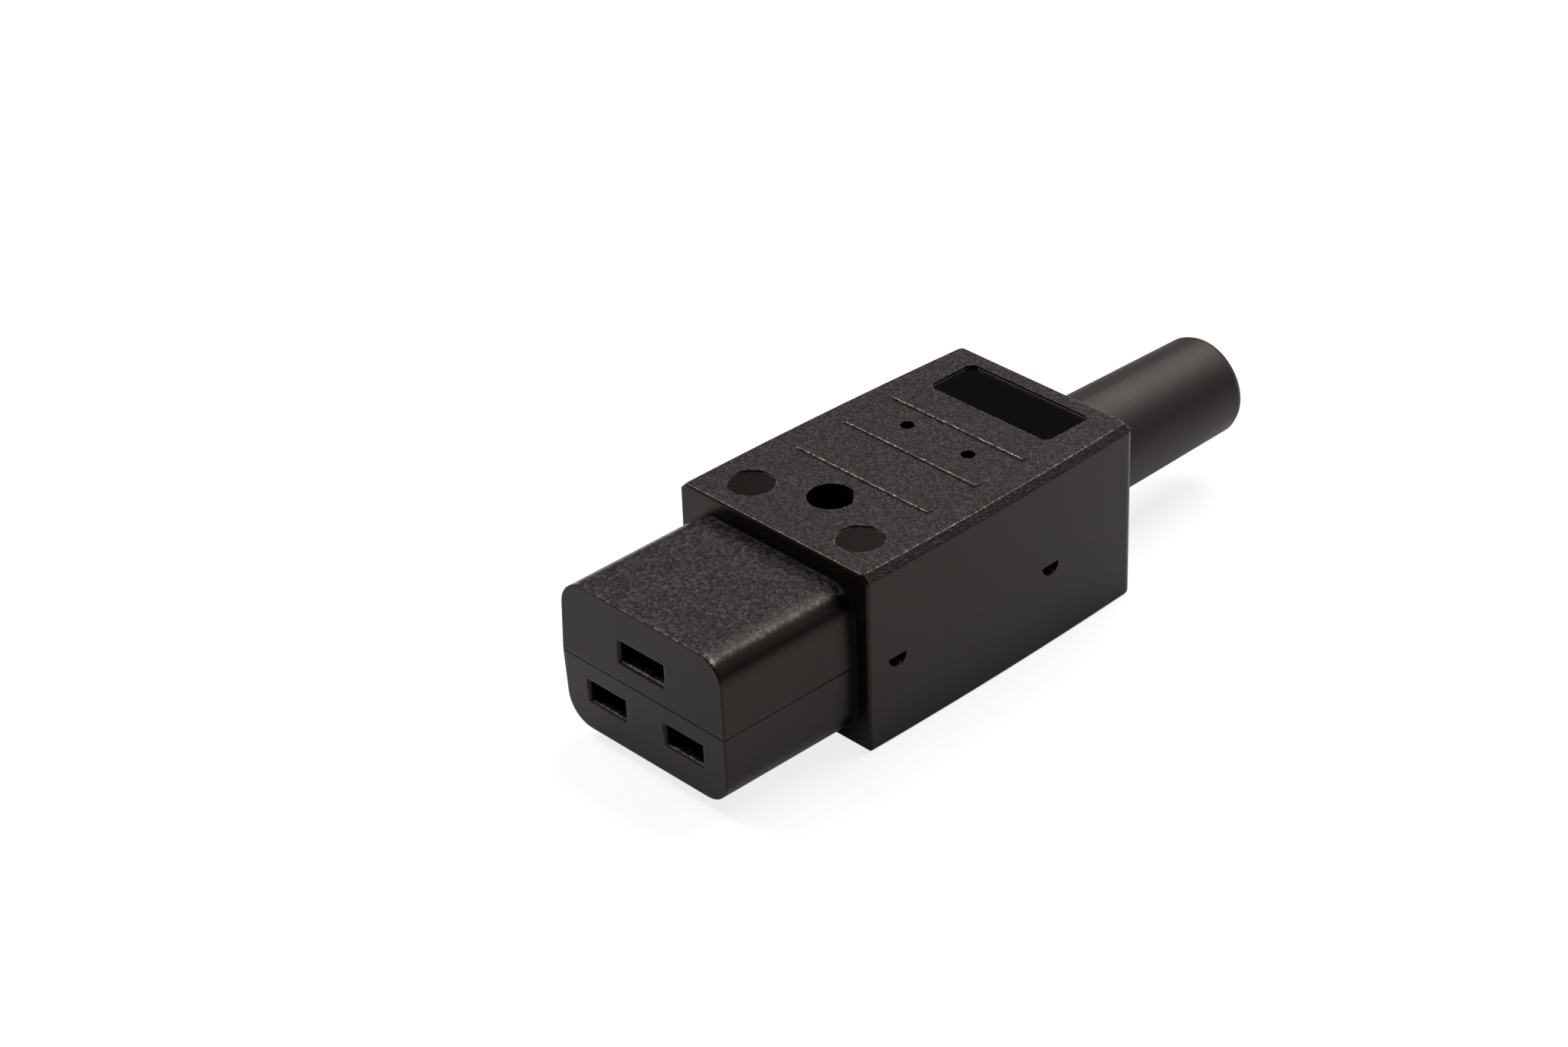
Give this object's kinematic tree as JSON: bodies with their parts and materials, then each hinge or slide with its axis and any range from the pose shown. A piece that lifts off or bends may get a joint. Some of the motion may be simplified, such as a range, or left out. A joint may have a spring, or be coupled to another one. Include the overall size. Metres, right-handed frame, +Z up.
{
  "type": "power connector",
  "caption": "Straight rewireable C19 appliance connector with a rounded nose, flat pin slots and a rubber strain-relief sleeve.",
  "frame": {"origin": "centre of the mating face of the nose, on the parting plane of the two housing halves", "axes": "+X from the mating face to the cable end, +Y across the connector, +Z up through the face with the housing screw"},
  "size_m": [0.0973, 0.0312, 0.0243],
  "materials": {
    "housing": "black, spark-eroded texture on top, fine matte sides",
    "sleeve": "black, satin",
    "brass": "stamped, bare",
    "steel": "zinc plated",
    "clamp": "black moulded"
  },
  "bodies": {
    "root": {"upper_shell": "housing", "lower_shell": "housing", "strain_relief_boot": "sleeve", "line_contact": "brass", "line_contact_spring": "steel", "line_terminal": "brass", "line_terminal_screw": "steel", "neutral_contact": "brass", "neutral_contact_spring": "steel", "neutral_terminal": "brass", "neutral_terminal_screw": "steel", "earth_contact": "brass", "earth_contact_spring": "steel", "earth_terminal": "brass", "earth_terminal_screw": "steel", "housing_screw": "steel", "housing_nut": "steel", "cable_clamp": "clamp", "left_clamp_screw": "steel", "right_clamp_screw": "steel"}
  },
  "joints": []
}
